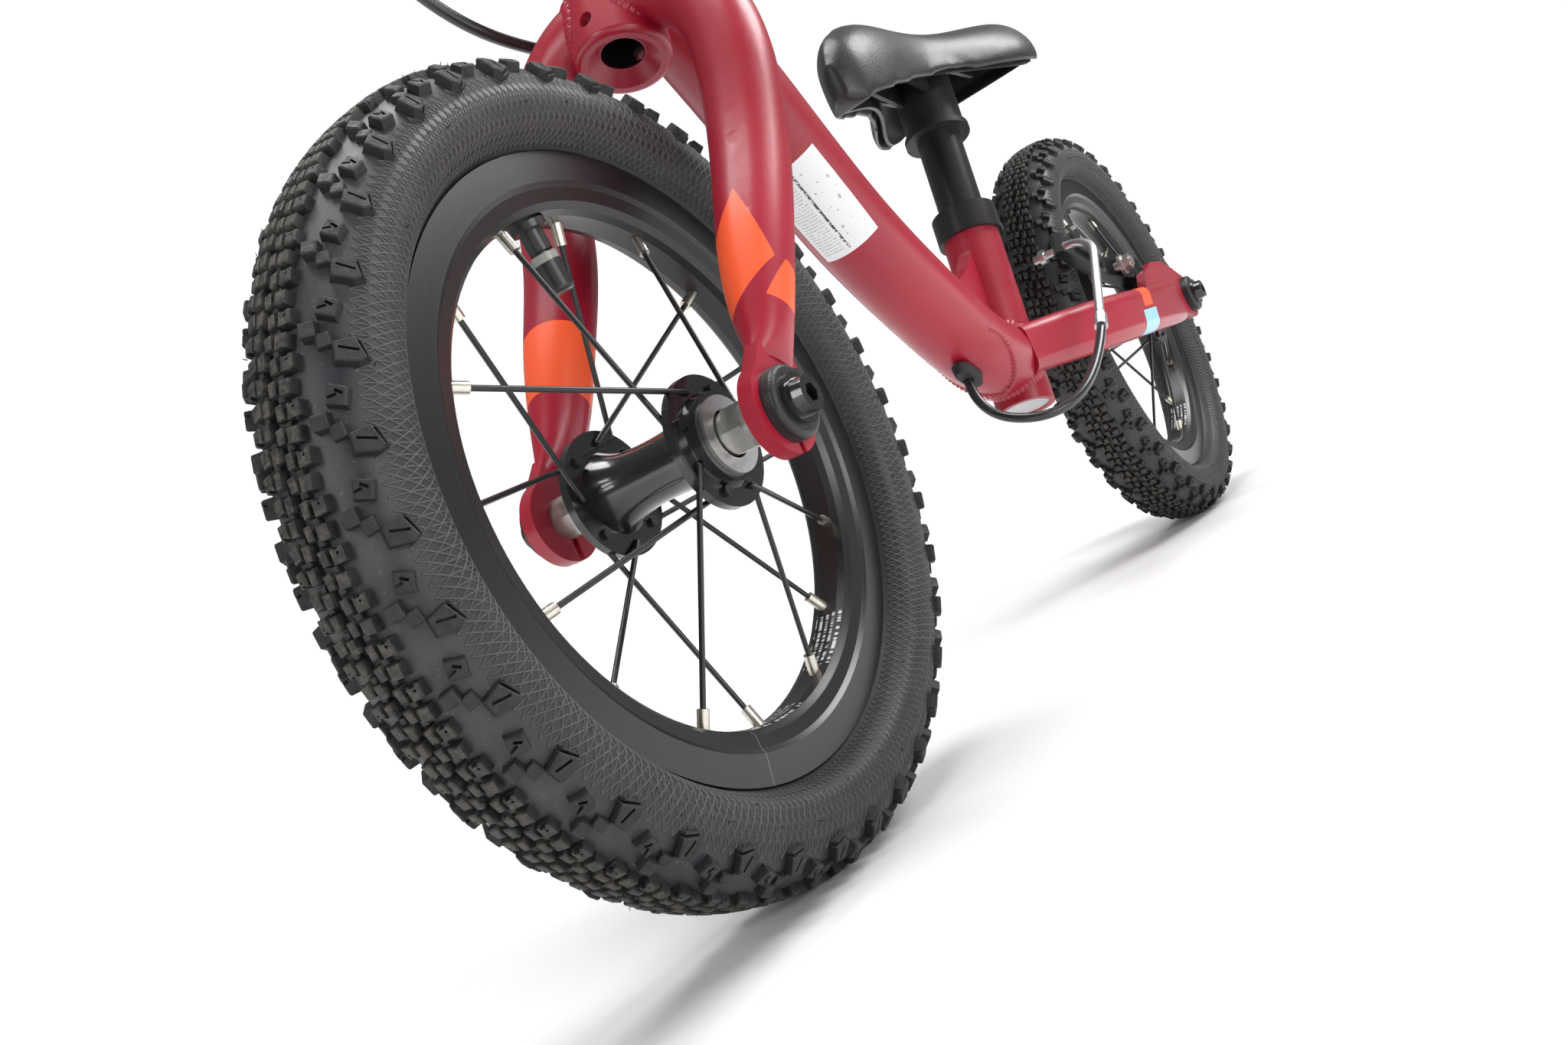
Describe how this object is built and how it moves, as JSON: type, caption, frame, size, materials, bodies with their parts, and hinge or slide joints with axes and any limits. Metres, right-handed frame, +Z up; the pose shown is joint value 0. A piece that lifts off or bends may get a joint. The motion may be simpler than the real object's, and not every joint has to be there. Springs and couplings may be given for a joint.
{
  "type": "balance bike",
  "caption": "Child's balance bike with knobbly spoked wheels, curved welded frame, turning fork, sliding saddle post and a hand-operated rear rim brake.",
  "frame": {"origin": "on the ground, midway between the two wheels", "axes": "+X forward, +Y to the bike's left, +Z up"},
  "size_m": [0.8442, 0.4428, 0.552],
  "materials": {
    "frame_paint": "satin crimson",
    "black_alloy": "satin black",
    "gloss_black": "gloss black",
    "bare_alloy": "bare, brushed",
    "zinc_steel": "zinc plated",
    "nickel_brass": "nickel plated",
    "tyre_rubber": "matt rubber",
    "soft_rubber": "matt rubber",
    "black_plastic": "matt plastic",
    "saddle_skin": "soft satin skin over foam",
    "cable_black": "gloss black"
  },
  "bodies": {
    "frame": {"head_tube": "frame_paint", "headset_cups": "black_alloy", "main_tube": "frame_paint", "seat_tube": "frame_paint", "seat_tube_plug": "bare_alloy", "seat_tube_gusset": "frame_paint", "seat_collar": "black_alloy", "seat_collar_bolt": "zinc_steel", "chainstay_left": "frame_paint", "chainstay_right": "frame_paint", "dropout_left": "frame_paint", "dropout_right": "frame_paint", "brake_posts": "black_alloy", "cable_grommets": "soft_rubber", "brake_housing_rear": "cable_black", "rear_axle": "zinc_steel", "rear_axle_covers": "black_plastic", "rear_axle_bolts": "gloss_black"},
    "seat": {"seat_post": "black_alloy", "saddle_base": "black_plastic", "saddle_cover": "saddle_skin"},
    "steering": {"fork_crown": "frame_paint", "steerer_tube": "black_alloy", "steerer_rings": "black_alloy", "fork_blade_left": "frame_paint", "fork_blade_right": "frame_paint", "stem": "black_alloy", "stem_faceplate": "black_alloy", "stem_bolts": "zinc_steel", "handlebar": "black_alloy", "grip_left": "soft_rubber", "grip_right": "soft_rubber", "brake_lever_bracket": "black_alloy", "brake_housing_front": "cable_black", "front_axle": "zinc_steel", "front_axle_covers": "black_plastic", "front_axle_bolts": "gloss_black"},
    "brake_lever": {"brake_lever": "black_alloy"},
    "brake_arm_left": {"brake_arm_left": "black_alloy", "brake_pad_left": "soft_rubber", "brake_bolts_left": "zinc_steel", "brake_noodle": "bare_alloy"},
    "brake_arm_right": {"brake_arm_right": "black_alloy", "brake_pad_right": "soft_rubber", "brake_bolts_right": "zinc_steel", "brake_boot": "soft_rubber"},
    "front_wheel": {"front_tyre": "tyre_rubber", "front_rim": "black_alloy", "front_spokes": "black_alloy", "front_nipples": "nickel_brass", "front_valve": "black_plastic", "front_hub_shell": "gloss_black", "front_dust_caps": "bare_alloy"},
    "rear_wheel": {"rear_tyre": "tyre_rubber", "rear_rim": "black_alloy", "rear_spokes": "black_alloy", "rear_nipples": "nickel_brass", "rear_valve": "black_plastic", "rear_hub_shell": "gloss_black", "rear_dust_caps": "bare_alloy"}
  },
  "joints": [
    {"name": "seat_height", "type": "slide", "parent": "frame", "child": "seat", "axis": [-0.2845, 0, 0.9587], "range_m": [-0.02, 0.03]},
    {"name": "steering_turn", "type": "hinge", "parent": "frame", "child": "steering", "pos_m": [0.196, 0, 0.294], "axis": [-0.375, 0, 0.927], "range_deg": [-45, 45], "deforming": ["brake_housing_front"]},
    {"name": "front_wheel_spin", "type": "hinge", "parent": "steering", "child": "front_wheel", "pos_m": [0.2817, 0, 0.1404], "axis": [0, 1, 0], "continuous": true},
    {"name": "rear_wheel_spin", "type": "hinge", "parent": "frame", "child": "rear_wheel", "pos_m": [-0.2817, 0, 0.1404], "axis": [0, 1, 0], "continuous": true},
    {"name": "brake_lever_pull", "type": "hinge", "parent": "steering", "child": "brake_lever", "pos_m": [0.19, -0.101, 0.5306], "axis": [0, 0, -1], "range_deg": [0, 12], "stiffness_Nm_per_rad": 0.4, "springref_deg": -20.05},
    {"name": "brake_arm_left_swing", "type": "hinge", "parent": "frame", "child": "brake_arm_left", "pos_m": [-0.21037, 0.04, 0.16358], "axis": [0.309, 0, -0.9511], "range_deg": [0, 4], "deforming": ["brake_housing_rear"]},
    {"name": "brake_arm_right_swing", "type": "hinge", "parent": "frame", "child": "brake_arm_right", "pos_m": [-0.21037, -0.04, 0.16358], "axis": [-0.309, 0, 0.9511], "range_deg": [0, 4], "deforming": ["brake_boot"]}
  ],
  "couplings": [
    {"joint": "brake_arm_left_swing", "follows": "brake_lever_pull", "ratio": 0.33333},
    {"joint": "brake_arm_right_swing", "follows": "brake_lever_pull", "ratio": 0.33333}
  ]
}
